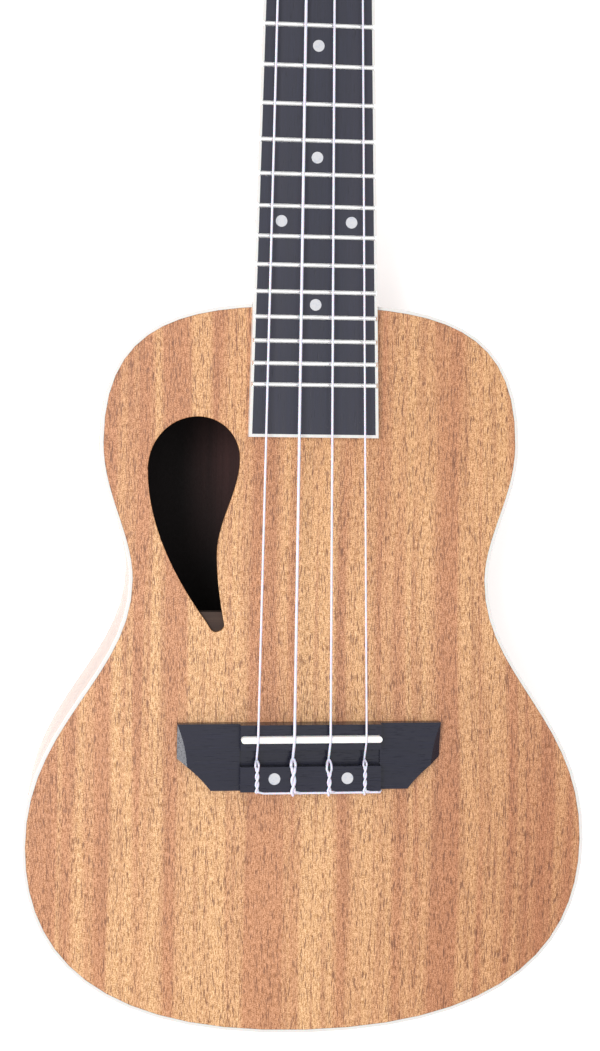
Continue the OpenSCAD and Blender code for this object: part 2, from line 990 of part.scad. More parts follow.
module slotted_head(r, h) {
    difference() {
        cylinder(r = r, h = h, $fn = 32);
        translate([-r, -0.25, h - 0.5])
            cube([2 * r, 0.5, 1]);
    }
}

module plate_screws() {
    color(STEEL)
        for (i = [0:3], s = screw_spots)
            at_post(i)
                translate([s[0], s[1], plate_back])
                    mirror([0, 0, 1]) {
                        slotted_head(1.6, 0.9);
                        translate([0, 0, -plate_t - 6])
                            cylinder(r = screw_hole_r, h = plate_t + 6 + EPS, $fn = 24);
                    }
}

// Rings of the worm's thread: a trapezium that climbs one pitch a turn
function thread_ring(k) =
    let (a = 360 * k / worm_steps, x = worm_pitch * k / worm_steps)
    [
        for (c = [[-tooth_half_root, worm_core_r - 0.2], [-tooth_half_tip, worm_tip_r],
                  [tooth_half_tip, worm_tip_r], [tooth_half_root, worm_core_r - 0.2]])
            [x + c[0], c[1] * cos(a), c[1] * sin(a)]
    ];

module worm(i) {
    half = round(worm_turns * worm_steps / 2);
    rings = [for (k = [-half:half]) thread_ring(k)];
    color(BRASS)
        at_post(i)
            translate([0, worm_y, worm_z]) {
                polyhedron(points = [for (r = rings) each r], faces = ring_faces(len(rings), 4));
                rotate([0, 90, 0]) {
                    translate([0, 0, -tab_in + 0.1])
                        cylinder(r = worm_core_r, h = 2 * tab_in - 0.2, $fn = 48);
                    translate([0, 0, tab_in - 0.25])
                        cylinder(r = shaft_r, h = button_x - button_r + 0.5 + button_bore - tab_in, $fn = 48);
                    translate([0, 0, -tab_in - tab_t - 0.2])
                        cylinder(r = shaft_r, h = tab_t + 0.45, $fn = 48);
                    translate([0, 0, -tab_in - tab_t - 1])
                        cylinder(r = 2.1, h = 0.85, $fn = 48);
                }
            }
}

// Button: a thick disc with a full round rim, on a short neck
module knob(i) {
    rim = button_t / 2;
    color(IVORY)
        at_post(i)
            translate([button_x, worm_y, worm_z])
                difference() {
                    union() {
                        rotate([90, 0, 0])
                            rotate_extrude($fn = 64) {
                                translate([button_r - rim, 0])
                                    intersection() {
                                        circle(r = rim, $fn = 48);
                                        translate([-EPS, -rim])
                                            square([rim + 1, button_t]);
                                    }
                                translate([0, -rim])
                                    square([button_r - rim, button_t]);
                            }
                        translate([-button_r - 1.2, 0, 0])
                            rotate([0, 90, 0])
                                cylinder(r = 2.4, h = 4, $fn = 48);
                    }
                    translate([-button_r - 2, 0, 0])
                        rotate([0, 90, 0])
                            cylinder(r = shaft_r + fit_gap, h = button_bore + 2.5, $fn = 48);
                }
}

module post(i) {
    shoulder = gear_bottom + gear_t;
    color(STEEL)
        at_post(i)
            difference() {
                union() {
                    translate([0, 0, shoulder])
                        cylinder(r = post_r, h = post_top - shoulder, $fn = 48);
                    translate([0, 0, gear_bottom])
                        cylinder(r = spigot_r - fit_gap, h = gear_t + EPS, $fn = 48);
                }
                translate([-post_r - 1, 0, winding_z + 4.2])
                    rotate([0, 90, 0])
                        cylinder(r = 0.8, h = 2 * post_r + 2, $fn = 24);
                translate([0, 0, gear_bottom - 1])
                    cylinder(r = gear_screw_r, h = 7, $fn = 32);
            }
}

function tooth_points(k) =
    let (a = -90 + 360 * (k + 0.5) / gear_teeth)
    let (along = [cos(a), sin(a)], across = [-sin(a), cos(a)])
    [
        gear_root_r * along - tooth_half_root * across,
        gear_tip_r * along - tooth_half_tip * across,
        gear_tip_r * along + tooth_half_tip * across,
        gear_root_r * along + tooth_half_root * across
    ];

module gear(i) {
    color(BRASS)
        at_post(i)
            translate([0, 0, gear_bottom])
                difference() {
                    linear_extrude(gear_t)
                        polygon([for (k = [0:gear_teeth - 1]) each tooth_points(k)]);
                    translate([0, 0, -1])
                        cylinder(r = spigot_r, h = gear_t + 2, $fn = 48);
                }
}

module gear_screw(i) {
    color(STEEL)
        at_post(i)
            translate([0, 0, gear_bottom])
                mirror([0, 0, 1]) {
                    slotted_head(2.9, 1.2);
                    translate([0, 0, -5])
                        cylinder(r = gear_screw_r - fit_gap, h = 5 + EPS, $fn = 32);
                }
}

// Turns of string round the post, stacked above the one that runs to the nut
module winding(i) {
    r = string_r(i);
    turns = 3;
    pitch = 1.9 * r;
    first = winding_z + 2 * r + string_end_gap;
    color(NYLON)
        at_post(i)
            rotate_extrude($fn = 48)
                for (k = [0:turns - 1])
                    translate([post_r + r + fit_gap, first + k * pitch])
                        circle(r = r, $fn = 16);
}

soundboard();
back_plate();
side_bass();
side_treble();
top_binding();
back_binding();
linings();
neck_block();
tail_block();
cross_braces();
fan_braces();
back_braces();
bridge_patch();
neck();
neck_dowels();
heel_cap();
headstock();
head_overlay();
fretboard();
fretboard_binding();
frets();
position_dots();
side_dots();
nut();
bridge();
saddle();
bridge_bolts();
bridge_nuts();
bridge_dots();
string_body(0);  // string_g
string_body(1);  // string_c
string_body(2);  // string_e
string_body(3);  // string_a
tuner_plates();
tuner_bushings();
plate_screws();
worm(0);  // worm_g
knob(0);  // knob_g
post(0);  // post_g
gear(0);  // gear_g
gear_screw(0);  // gear_screw_g
winding(0);  // winding_g
worm(1);  // worm_c
knob(1);  // knob_c
post(1);  // post_c
gear(1);  // gear_c
gear_screw(1);  // gear_screw_c
winding(1);  // winding_c
worm(2);  // worm_e
knob(2);  // knob_e
post(2);  // post_e
gear(2);  // gear_e
gear_screw(2);  // gear_screw_e
winding(2);  // winding_e
worm(3);  // worm_a
knob(3);  // knob_a
post(3);  // post_a
gear(3);  // gear_a
gear_screw(3);  // gear_screw_a
winding(3);  // winding_a
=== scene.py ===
"""Concert ukulele lying on its back on a pale floor: the looks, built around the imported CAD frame."""

import json
import math

import bmesh
import bpy
from mathutils import Matrix, Vector


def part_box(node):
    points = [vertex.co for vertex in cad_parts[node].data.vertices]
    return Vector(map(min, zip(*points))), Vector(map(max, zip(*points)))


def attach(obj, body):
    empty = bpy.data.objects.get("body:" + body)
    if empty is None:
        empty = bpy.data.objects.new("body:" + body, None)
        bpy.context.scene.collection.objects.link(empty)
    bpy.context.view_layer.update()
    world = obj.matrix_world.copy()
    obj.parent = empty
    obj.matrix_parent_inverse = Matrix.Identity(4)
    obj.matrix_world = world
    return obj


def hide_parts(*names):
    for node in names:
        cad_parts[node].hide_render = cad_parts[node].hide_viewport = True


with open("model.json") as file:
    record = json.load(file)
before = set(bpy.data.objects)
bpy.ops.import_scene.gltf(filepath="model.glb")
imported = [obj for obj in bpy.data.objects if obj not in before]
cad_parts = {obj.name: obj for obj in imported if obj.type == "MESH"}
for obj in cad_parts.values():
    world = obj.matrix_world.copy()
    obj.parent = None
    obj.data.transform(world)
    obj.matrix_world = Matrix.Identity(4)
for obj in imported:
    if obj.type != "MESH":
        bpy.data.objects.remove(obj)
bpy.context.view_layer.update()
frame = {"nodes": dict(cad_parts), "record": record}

MM = 0.001
STRINGS = ("g", "c", "e", "a")


# ---- camera ---------------------------------------------------------------
# The camera stands over the soundboard. The point on the soundboard straight under the saddle lies at
# VIEW_OFFSET in the camera's own axes.
VIEW_YAW = math.radians(7.0)
VIEW_PITCH = math.radians(2.8)
VIEW_ROLL = math.radians(-0.67)
VIEW_OFFSET = Vector((3.4 * MM, -80.8 * MM, -692.8 * MM))
LENS = 61.7
SENSOR_WIDTH = 36.0


def make_camera():
    """Camera at the view's angles and distance."""
    turn = (
        Matrix.Rotation(VIEW_ROLL, 3, "Z")
        @ Matrix.Rotation(VIEW_PITCH, 3, "X")
        @ Matrix.Rotation(VIEW_YAW, 3, "Y")
    )
    data = bpy.data.cameras.new("camera")
    data.lens = LENS
    data.sensor_width = SENSOR_WIDTH
    camera = bpy.data.objects.new("camera", data)
    aim = Vector((0.0, 0.0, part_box("soundboard")[1].z))
    back = turn.transposed()
    camera.matrix_world = Matrix.Translation(aim - back @ VIEW_OFFSET) @ back.to_4x4()
    bpy.context.scene.collection.objects.link(camera)
    bpy.context.scene.camera = camera


# ---- node graphs ----------------------------------------------------------
class Graph:
    """Short calls for building one material's nodes."""

    def __init__(self, name):
        self.material = bpy.data.materials.new(name)
        self.material.use_nodes = True
        self.tree = self.material.node_tree
        self.tree.nodes.clear()
        self.output = self.add("ShaderNodeOutputMaterial")
        self.shader = self.add("ShaderNodeBsdfPrincipled")
        self.link(self.shader.outputs["BSDF"], self.output.inputs["Surface"])
        self.place = self.add("ShaderNodeTexCoord").outputs["Object"]

    def add(self, kind, **settings):
        node = self.tree.nodes.new(kind)
        for key, value in settings.items():
            setattr(node, key, value)
        return node

    def link(self, start, end):
        self.tree.links.new(start, end)

    def feed(self, socket, value):
        """Links value if it is a socket, and sets it if it is a number or a colour."""
        if isinstance(value, bpy.types.NodeSocket):
            self.link(value, socket)
        else:
            socket.default_value = value

    def math(self, operation, a, b=0.0, clamp=False):
        node = self.add("ShaderNodeMath", operation=operation, use_clamp=clamp)
        self.feed(node.inputs[0], a)
        self.feed(node.inputs[1], b)
        return node.outputs[0]

    def stretched(self, scale, shift=None):
        """Object coordinates times scale, with an optional vector added first."""
        source = self.place
        if shift is not None:
            added = self.add("ShaderNodeVectorMath", operation="ADD")
            self.link(source, added.inputs[0])
            self.feed(added.inputs[1], shift)
            source = added.outputs[0]
        scaled = self.add("ShaderNodeVectorMath", operation="MULTIPLY")
        self.link(source, scaled.inputs[0])
        scaled.inputs[1].default_value = scale
        return scaled.outputs[0]

    def noise(self, vector, detail=2.0, roughness=0.5, distortion=0.0):
        node = self.add("ShaderNodeTexNoise")
        self.link(vector, node.inputs["Vector"])
        node.inputs["Scale"].default_value = 1.0
        node.inputs["Detail"].default_value = detail
        node.inputs["Roughness"].default_value = roughness
        node.inputs["Distortion"].default_value = distortion
        return node.outputs["Fac"]

    def ramp(self, value, *stops):
        """Colour ramp through (position, colour) stops."""
        node = self.add("ShaderNodeValToRGB")
        self.link(value, node.inputs["Fac"])
        ramp = node.color_ramp
        while len(ramp.elements) < len(stops):
            ramp.elements.new(0.5)
        for element, (position, colour) in zip(ramp.elements, stops):
            element.position = position
            element.color = (*colour, 1.0)
        return node.outputs["Color"]

    def remap(self, value, low, high, new_low=0.0, new_high=1.0):
        node = self.add("ShaderNodeMapRange")
        self.link(value, node.inputs["Value"])
        limits = {"From Min": low, "From Max": high, "To Min": new_low, "To Max": new_high}
        for name, number in limits.items():
            node.inputs[name].default_value = number
        return node.outputs["Result"]

    def mix(self, share, a, b, blend="MIX"):
        node = self.add("ShaderNodeMix", data_type="RGBA", blend_type=blend)
        self.feed(node.inputs["Factor"], share)
        for socket, value in ((node.inputs[6], a), (node.inputs[7], b)):
            self.feed(socket, (*value, 1.0) if isinstance(value, tuple) else value)
        return node.outputs[2]

    def bump(self, height, strength, distance):
        node = self.add("ShaderNodeBump")
        node.inputs["Strength"].default_value = strength
        node.inputs["Distance"].default_value = distance
        self.link(height, node.inputs["Height"])
        self.link(node.outputs["Normal"], self.shader.inputs["Normal"])

    def set(self, **values):
        """Sets or links the shader's sockets, with spaces written as underscores."""
        for key, value in values.items():
            self.feed(self.shader.inputs[key.replace("_", " ")], value)
        return self


def grain(along, across, through, axis):
    """Scale vector whose long direction lies on the axis named.

    XY is a strip bent round the body, standing on edge.
    """
    return {"Y": (across, along, through), "X": (along, across, through), "XY": (along, along, across)}[axis]


# ---- materials ------------------------------------------------------------
GRAIN_BEND = 2.2 * MM
NO_SHIFT = (0.0, 0.0, 0.0)
# Noise scales along, across and through the grain
DRIFT_GRAIN = (5.0, 8.0, 8.0)
WIDE_GRAIN = (1.6, 46.0, 30.0)
RIBBON_GRAIN = (2.6, 150.0, 90.0)
STREAK_GRAIN = (11.0, 520.0, 300.0)
FIBRE_GRAIN = (520.0, 2500.0, 1500.0)
SPARK_GRAIN = (2600.0, 2600.0, 1800.0)
PORE_GRAIN = (260.0, 2700.0, 1900.0)
WIDE_SHARE = 0.5
RIBBON_SHARE = 0.5
FIBRE_SHARE = 0.44
SPARK_SHARE = 0.56
PORE_EDGE = (0.58, 0.66)


def figure(g, axis, shift):
    """The layers of straight-grained sapele: wide ribbons, thin streaks, gleaming fibres and open pores."""
    drift = g.noise(g.stretched(grain(*DRIFT_GRAIN, axis), shift), detail=1.0)
    bend = g.add("ShaderNodeCombineXYZ")
    sideways = {"Y": 0, "X": 1, "XY": 2}[axis]
    moved = g.remap(drift, 0.3, 0.7, shift[sideways] - GRAIN_BEND, shift[sideways] + GRAIN_BEND)
    g.link(moved, bend.inputs[sideways])
    way = bend.outputs[0]
    wide = g.noise(g.stretched(grain(*WIDE_GRAIN, axis), way), detail=1.0)
    ribbon = g.noise(g.stretched(grain(*RIBBON_GRAIN, axis), way), detail=2.0, roughness=0.55)
    streak = g.noise(g.stretched(grain(*STREAK_GRAIN, axis), way), detail=2.0, roughness=0.6)
    fibre = g.noise(g.stretched(grain(*FIBRE_GRAIN, axis), way), detail=1.0)
    spark = g.noise(g.stretched(grain(*SPARK_GRAIN, axis), way), detail=1.0)
    holes = g.noise(g.stretched(grain(*PORE_GRAIN, axis), way), detail=1.0)
    bands = g.math("ADD", g.math("MULTIPLY", wide, WIDE_SHARE), g.math("MULTIPLY", ribbon, RIBBON_SHARE))
    gleam = g.math("ADD", g.math("MULTIPLY", fibre, FIBRE_SHARE), g.math("MULTIPLY", spark, SPARK_SHARE))
    return bands, streak, gleam, g.remap(holes, *PORE_EDGE)


# Where the painted light from the sound hole reaches the inside, from unlit to fully lit, in metres
PAINTED_LIGHT_X = (-0.046, -0.024)
PAINTED_LIGHT_Y = (0.060, 0.105)
# Painted shade that makes the inside near black, and the redder painted light from the sound hole
INSIDE_PAINTED_SHADE = (0.010, 0.006, 0.006)
INSIDE_PAINTED_LIGHT = (0.085, 0.036, 0.034)


def painted_inside_shade_and_light(g, streak):
    """The inside of the body, painted near black as shade, and a little redder where painted light from the
    sound hole falls.
    """
    spot = g.add("ShaderNodeSeparateXYZ")
    g.link(g.place, spot.inputs[0])
    lit = g.math("MULTIPLY", g.remap(spot.outputs["X"], *PAINTED_LIGHT_X), g.remap(spot.outputs["Y"], *PAINTED_LIGHT_Y))
    lit = g.math("MULTIPLY", lit, g.remap(streak, 0.3, 0.6, 0.6, 1.0))
    return g.mix(lit, INSIDE_PAINTED_SHADE, INSIDE_PAINTED_LIGHT)


# Where the soundboard's painted shade on its lower treble flank, and its darker shoulders, run from none to
# full, in metres
FLANK_X = (0.0, 0.085)
FLANK_Y = (0.10, -0.03)
SHOULDER_Y = (0.045, 0.11)


def painted_flank_shade_and_darker_shoulders(g, tone):
    """Painted shade on the soundboard: darker and redder towards its lower treble flank, and, less so, darker
    towards its shoulders.
    """
    spot = g.add("ShaderNodeSeparateXYZ")
    g.link(g.place, spot.inputs[0])
    flank = g.math("MULTIPLY", g.remap(spot.outputs["X"], *FLANK_X), g.remap(spot.outputs["Y"], *FLANK_Y))
    shoulders = g.remap(spot.outputs["Y"], *SHOULDER_Y)
    for share, tint in ((flank, TOP_FLANK_PAINTED_SHADE), (shoulders, TOP_SHOULDERS)):
        tone = g.mix(share, tone, g.mix(1.0, tone, tint, blend="MULTIPLY"))
    return tone


TONE_SWING = (0.45, 0.58, 0.80)
INNER_FACE = (0.7, 0.9)


def ribbon_wood(name, tones, axis="Y", roughness=0.48, coat=0.1, shift=NO_SHIFT, inner=None, flank_shade_and_darker_shoulders=False):
    """Sapele in tones (light, dark, red, pore). Inner is the inside face's Z direction."""
    light, dark, red, pore = tones
    g = Graph(name)
    bands, streak, gleam, dashes = figure(g, axis, shift)
    tone = g.mix(g.remap(bands, 0.46, 0.56), light, red)
    tone = g.mix(g.remap(streak, 0.50, 0.68, 0.0, 0.55), tone, dark)
    shade = g.add("ShaderNodeCombineColor")
    for channel, swing in enumerate(TONE_SWING):
        g.link(g.remap(gleam, 0.36, 0.64, 1.0 - swing, 1.0 + swing), shade.inputs[channel])
    tone = g.mix(1.0, tone, shade.outputs[0], blend="MULTIPLY")
    tone = g.mix(g.math("MULTIPLY", dashes, 0.8), tone, pore)
    # Painted shade towards the soundboard's lower treble flank, and darker shoulders
    if flank_shade_and_darker_shoulders:
        tone = painted_flank_shade_and_darker_shoulders(g, tone)
    gloss = g.remap(gleam, 0.3, 0.7, roughness + 0.08, roughness - 0.06)
    if inner is not None:
        face = g.add("ShaderNodeSeparateXYZ")
        g.link(g.add("ShaderNodeNewGeometry").outputs["Normal"], face.inputs[0])
        indoors = g.remap(face.outputs["Z"], INNER_FACE[0] * inner, INNER_FACE[1] * inner)
        # The inside faces get painted shade and painted light in place of the sapele
        tone = g.mix(indoors, tone, painted_inside_shade_and_light(g, streak))
        gloss = g.math("ADD", gloss, g.math("MULTIPLY", indoors, 0.5), clamp=True)
    g.set(Base_Color=tone, Roughness=gloss)
    g.set(Coat_Weight=coat, Coat_Roughness=0.25, IOR=1.45)
    height = g.math("SUBTRACT", g.math("MULTIPLY", gleam, 0.5), g.math("MULTIPLY", dashes, 0.6))
    g.bump(height, 0.22, 0.00012)
    return g.material


ROSEWOOD_WIDE = (5.0, 160.0, 120.0)
ROSEWOOD_FIBRE = (60.0, 2100.0, 1600.0)
ROSEWOOD_PORES = (190.0, 2600.0, 1900.0)
FIBRE_PALER = 1.9
BAND_WARMER = (1.35, 1.25, 1.15)
PORE_DARKER = 0.5


def dark_wood(name, axis, light, roughness, specular):
    """Dyed rosewood: near black and slightly blue, with fine paler fibres and open pores."""
    g = Graph(name)
    wide = g.noise(g.stretched(grain(*ROSEWOOD_WIDE, axis)), detail=2.0, roughness=0.6)
    fibre = g.noise(g.stretched(grain(*ROSEWOOD_FIBRE, axis)), detail=3.0, roughness=0.7)
    holes = g.noise(g.stretched(grain(*ROSEWOOD_PORES, axis)), detail=1.0)
    paler = tuple(c * FIBRE_PALER for c in light)
    warmer = tuple(c * more for c, more in zip(light, BAND_WARMER))
    tone = g.mix(g.remap(wide, 0.35, 0.68), light, warmer)
    tone = g.mix(g.remap(fibre, 0.45, 0.75, 0.0, 0.55), tone, paler)
    dashes = g.remap(holes, 0.64, 0.72)
    tone = g.mix(g.math("MULTIPLY", dashes, 0.6), tone, tuple(c * PORE_DARKER for c in light))
    g.set(Base_Color=tone, Roughness=g.remap(fibre, 0.3, 0.7, roughness, roughness + 0.14))
    g.set(IOR=1.46, Specular_IOR_Level=specular)
    g.bump(g.math("SUBTRACT", g.math("MULTIPLY", fibre, 0.6), dashes), 0.3, 0.0001)
    return g.material


RAW_WIDE = (4.0, 260.0, 200.0)
RAW_FIBRE = (50.0, 1500.0, 1200.0)
# Timber tones darkened as painted shade for the inside of the body
RAW_TONES_WITH_PAINTED_SHADE = ((0.050, 0.027, 0.018), (0.034, 0.017, 0.012))
RAW_FIBRE_TONE_WITH_PAINTED_SHADE = (0.022, 0.011, 0.008)


def raw_wood(name, axis):
    """Unvarnished inner timber, with painted shade: its colours are darkened to stand for the shade inside
    the body.
    """
    g = Graph(name)
    wide = g.noise(g.stretched(grain(*RAW_WIDE, axis)), detail=2.0)
    fibre = g.noise(g.stretched(grain(*RAW_FIBRE, axis)), detail=3.0, roughness=0.7)
    tone = g.mix(g.remap(wide, 0.35, 0.65), *RAW_TONES_WITH_PAINTED_SHADE)
    tone = g.mix(g.remap(fibre, 0.45, 0.75, 0.0, 0.5), tone, RAW_FIBRE_TONE_WITH_PAINTED_SHADE)
    g.set(Base_Color=tone, Roughness=0.78)
    g.bump(fibre, 0.3, 0.00015)
    return g.material


def plastic(name, colour, roughness=0.28, mottle=0.04, subsurface=0.0, coat=0.0):
    """Moulded plastic with a faint unevenness in colour and gloss."""
    g = Graph(name)
    cloud = g.noise(g.stretched((260.0, 260.0, 260.0)), detail=3.0)
    fine = g.noise(g.stretched((2400.0, 2400.0, 2400.0)), detail=2.0)
    darker = tuple(c * (1.0 - mottle) for c in colour)
    g.set(Base_Color=g.mix(g.remap(cloud, 0.35, 0.65), colour, darker))
    g.set(Roughness=g.remap(fine, 0.3, 0.7, roughness - 0.04, roughness + 0.05))
    g.set(Subsurface_Weight=subsurface, Subsurface_Scale=0.002, Coat_Weight=coat, Coat_Roughness=0.08)
    g.bump(fine, 0.05, 0.00005)
    return g.material


PEARL_SCALE = (620.0, 620.0, 620.0)
PEARL_WARP_SCALE = (700.0, 700.0, 700.0)
PEARL_WARP = 1.2 * MM
PEARL_CLOUDS = (
    (0.30, (0.70, 0.75, 0.91)),
    (0.45, (0.91, 0.93, 1.0)),
    (0.55, (1.0, 0.98, 1.0)),
    (0.70, (0.84, 0.88, 1.0)),
)


def pearl(name, lightness):
    """Pearloid: pale clouds of silver, blue and cream."""
    g = Graph(name)
    warp = g.noise(g.stretched(PEARL_WARP_SCALE), detail=2.0)
    bend = g.add("ShaderNodeCombineXYZ")
    for axis in range(3):
        g.link(g.remap(warp, 0.3, 0.7, -PEARL_WARP, PEARL_WARP), bend.inputs[axis])
    swirl = g.noise(g.stretched(PEARL_SCALE, bend.outputs[0]), detail=3.0, roughness=0.6)
    stops = [(spot, tuple(lightness * c for c in colour)) for spot, colour in PEARL_CLOUDS]
    tone = g.ramp(swirl, *stops)
    g.set(Base_Color=tone, Metallic=0.1, Roughness=0.2, Coat_Weight=0.4, Coat_Roughness=0.05)
    return g.material


def metal(name, colour, roughness, scratch=(900.0, 900.0, 900.0)):
    """Metal whose polish varies finely."""
    g = Graph(name)
    fine = g.noise(g.stretched(scratch), detail=4.0, roughness=0.7)
    cloud = g.noise(g.stretched((180.0, 180.0, 180.0)), detail=2.0)
    worn = tuple(c * 0.86 for c in colour)
    g.set(Base_Color=g.mix(g.remap(cloud, 0.4, 0.7), colour, worn), Metallic=1.0)
    g.set(Roughness=g.remap(fine, 0.3, 0.7, roughness * 0.75, roughness * 1.3))
    g.bump(fine, 0.04, 0.00003)
    return g.material


NYLON_SCALE = (900.0, 120.0, 900.0)
NYLON_TONES = ((0.66, 0.65, 0.75), (0.60, 0.59, 0.70))


def nylon(name):
    """Clear-white monofilament."""
    g = Graph(name)
    cloud = g.noise(g.stretched(NYLON_SCALE), detail=2.0)
    g.set(Base_Color=g.mix(g.remap(cloud, 0.35, 0.65), *NYLON_TONES))
    g.set(Roughness=0.25, Subsurface_Weight=0.3, Subsurface_Scale=0.0006, Coat_Weight=0.3, Coat_Roughness=0.1)
    return g.material


TOP_TONES = ((0.600, 0.337, 0.160), (0.360, 0.155, 0.074), (0.465, 0.212, 0.102), (0.150, 0.052, 0.022))
SIDE_TONES = ((0.330, 0.148, 0.070), (0.165, 0.064, 0.032), (0.235, 0.096, 0.044), (0.05, 0.02, 0.012))
NECK_TONES = ((0.290, 0.130, 0.063), (0.185, 0.074, 0.037), (0.230, 0.096, 0.046), (0.06, 0.025, 0.014))
# Tints multiplied in: painted shade on the soundboard's lower treble flank, then the darker shoulders
TOP_FLANK_PAINTED_SHADE = (0.80, 0.70, 0.66)
TOP_SHOULDERS = (0.92, 0.87, 0.82)
SIDE_SHIFT = (0.31, 0.12, 0.2)
TOP_SHIFT = (0.83, 0.4, 0.1)
NECK_SHIFT = (0.7, 0.4, 0.1)

# The top and back carry painted shade and painted light on their inside faces
MATERIALS = {
    # The soundboard carries painted shade on its lower treble flank
    "top_wood": ribbon_wood("top_sapele", TOP_TONES, shift=TOP_SHIFT, inner=-1.0, flank_shade_and_darker_shoulders=True),
    "back_wood": ribbon_wood("back_sapele", SIDE_TONES, roughness=0.3, coat=0.0, shift=SIDE_SHIFT, inner=1.0),
    "side_wood": ribbon_wood("side_sapele", SIDE_TONES, axis="XY", roughness=0.3, coat=0.5, shift=SIDE_SHIFT),
    "neck_wood": ribbon_wood("neck_okoume", NECK_TONES, roughness=0.42, coat=0.15, shift=NECK_SHIFT),
    # Inner timber, darkened as painted shade
    "inner_wood": raw_wood("inner_wood_cross", "X"),
    "board_wood": dark_wood("board_wood", "Y", (0.015, 0.016, 0.029), 0.42, 0.4),
    "bridge_wood": dark_wood("bridge_wood", "X", (0.0065, 0.007, 0.0175), 0.16, 0.3),
    "binding_plastic": plastic(
        "binding_white", (0.62, 0.605, 0.585), roughness=0.3, subsurface=0.1, coat=0.2
    ),
    "saddle_plastic": plastic("saddle_white", (0.84, 0.83, 0.82), roughness=0.3, subsurface=0.15),
    "pearl": pearl("pearloid", 0.48),
    "dark_plastic": plastic("dot_black", (0.012, 0.012, 0.014), roughness=0.3),
    "fret_metal": metal("nickel_silver", (0.94, 0.935, 0.93), 0.24, (300.0, 3000.0, 900.0)),
    "screw_steel": metal("zinc_steel", (0.55, 0.55, 0.56), 0.35),
    "tuner_chrome": metal("nickel_plate", (0.72, 0.71, 0.69), 0.14),
    "gear_brass": metal("gear_brass", (0.66, 0.47, 0.20), 0.28),
    "knob_plastic": pearl("knob_pearl", 0.72),
    "nylon": nylon("nylon"),
}
NODE_SLOT = {row["node"]: row["material_slot"] for row in frame["record"]["subparts"]}


def material_for(node):
    """Material of a CAD node: its slot's own, except where its grain or inner face asks for another."""
    slot = NODE_SLOT[node]
    if node == "back_plate":
        return MATERIALS["back_wood"]
    if slot == "black_wood":
        return MATERIALS["bridge_wood" if node == "bridge" else "board_wood"]
    return MATERIALS[slot]


# ---- pieces ---------------------------------------------------------------
def body_of_node(node):
    return next(name for name, nodes in frame["record"]["behaviour"]["bodies"].items() if node in nodes)


def finish_piece(obj, node):
    """Links obj, which stands for a CAD node, and rides it on that node's body."""
    if obj.name not in bpy.context.scene.collection.objects:
        bpy.context.scene.collection.objects.link(obj)
    obj.data.materials.clear()
    obj.data.materials.append(material_for(node))
    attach(obj, body_of_node(node))
    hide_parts(node)
    return obj


SHARP_EDGE = 30.0
BEVEL_SEGMENTS = 2


def soften(obj, width, sharp=SHARP_EDGE):
    """Rounds the sharp edges and shades the rest smooth."""
    mesh = obj.data
    mesh.polygons.foreach_set("use_smooth", [True] * len(mesh.polygons))
    mesh.set_sharp_from_angle(angle=math.radians(sharp))
    if width:
        bevel = obj.modifiers.new("bevel", "BEVEL")
        bevel.width = width
        bevel.segments = BEVEL_SEGMENTS
        bevel.limit_method = "ANGLE"
        bevel.angle_limit = math.radians(sharp)
        bevel.harden_normals = True
        bevel.use_clamp_overlap = True
    return obj


WELD_GAP = 3e-6
FLAT_ANGLE = math.radians(0.3)


def polished(node, name, width):
    """The CAD node's own shape with welded faces, rounded edges and smooth curves."""
    made = bmesh.new()
    made.from_mesh(frame["nodes"][node].data)
    bmesh.ops.remove_doubles(made, verts=made.verts, dist=WELD_GAP)
    bmesh.ops.dissolve_limit(made, angle_limit=FLAT_ANGLE, verts=made.verts, edges=made.edges)
    mesh = bpy.data.meshes.new(name)
    made.to_mesh(mesh)
    made.free()
    if "custom_normal" in mesh.attributes:
        mesh.attributes.remove(mesh.attributes["custom_normal"])
    obj = bpy.data.objects.new(name, mesh)
    soften(obj, width)
    return finish_piece(obj, node)


def repaint(node):
    """A CAD node that stays as it is gets its procedural material."""
    obj = frame["nodes"][node]
    obj.data.materials.clear()
    obj.data.materials.append(material_for(node))


def spline(points, steps):
    """Smooth curve through all the points (a uniform Catmull-Rom spline), with steps between each two."""
    ends = [points[0] * 2 - points[1], *points, points[-1] * 2 - points[-2]]
    out = []
    for a, b, c, d in zip(ends, ends[1:], ends[2:], ends[3:]):
        for k in range(steps):
            t = k / steps
            bend = 2 * a - 5 * b + 4 * c - d
            turn = 3 * b - a - 3 * c + d
            out.append(0.5 * ((2 * b) + (c - a) * t + bend * t * t + turn * t ** 3))
    out.append(points[-1].copy())
    return out


def tube_mesh(name, path, radius, sides=12):
    """Closed round tube along a path, with its rings carried along without twist."""
    made = bmesh.new()
    side = Vector((0.0, 0.0, 1.0))
    rings = []
    for i, point in enumerate(path):
        ahead = (path[min(i + 1, len(path) - 1)] - path[max(i - 1, 0)]).normalized()
        side = (side - ahead * side.dot(ahead)).normalized()
        other = ahead.cross(side)
        size = radius(i / (len(path) - 1)) if callable(radius) else radius
        angles = [math.tau * k / sides for k in range(sides)]
        rings.append([
            made.verts.new(point + size * (math.cos(angle) * side + math.sin(angle) * other))
            for angle in angles
        ])
    for low, high in zip(rings, rings[1:]):
        for k in range(sides):
            made.faces.new((low[k], low[(k + 1) % sides], high[(k + 1) % sides], high[k]))
    made.faces.new(reversed(rings[0]))
    made.faces.new(rings[-1])
    bmesh.ops.recalc_face_normals(made, faces=made.faces)
    mesh = bpy.data.meshes.new(name)
    made.to_mesh(mesh)
    made.free()
    obj = bpy.data.objects.new(name, mesh)
    return soften(obj, 0.0, sharp=50.0)


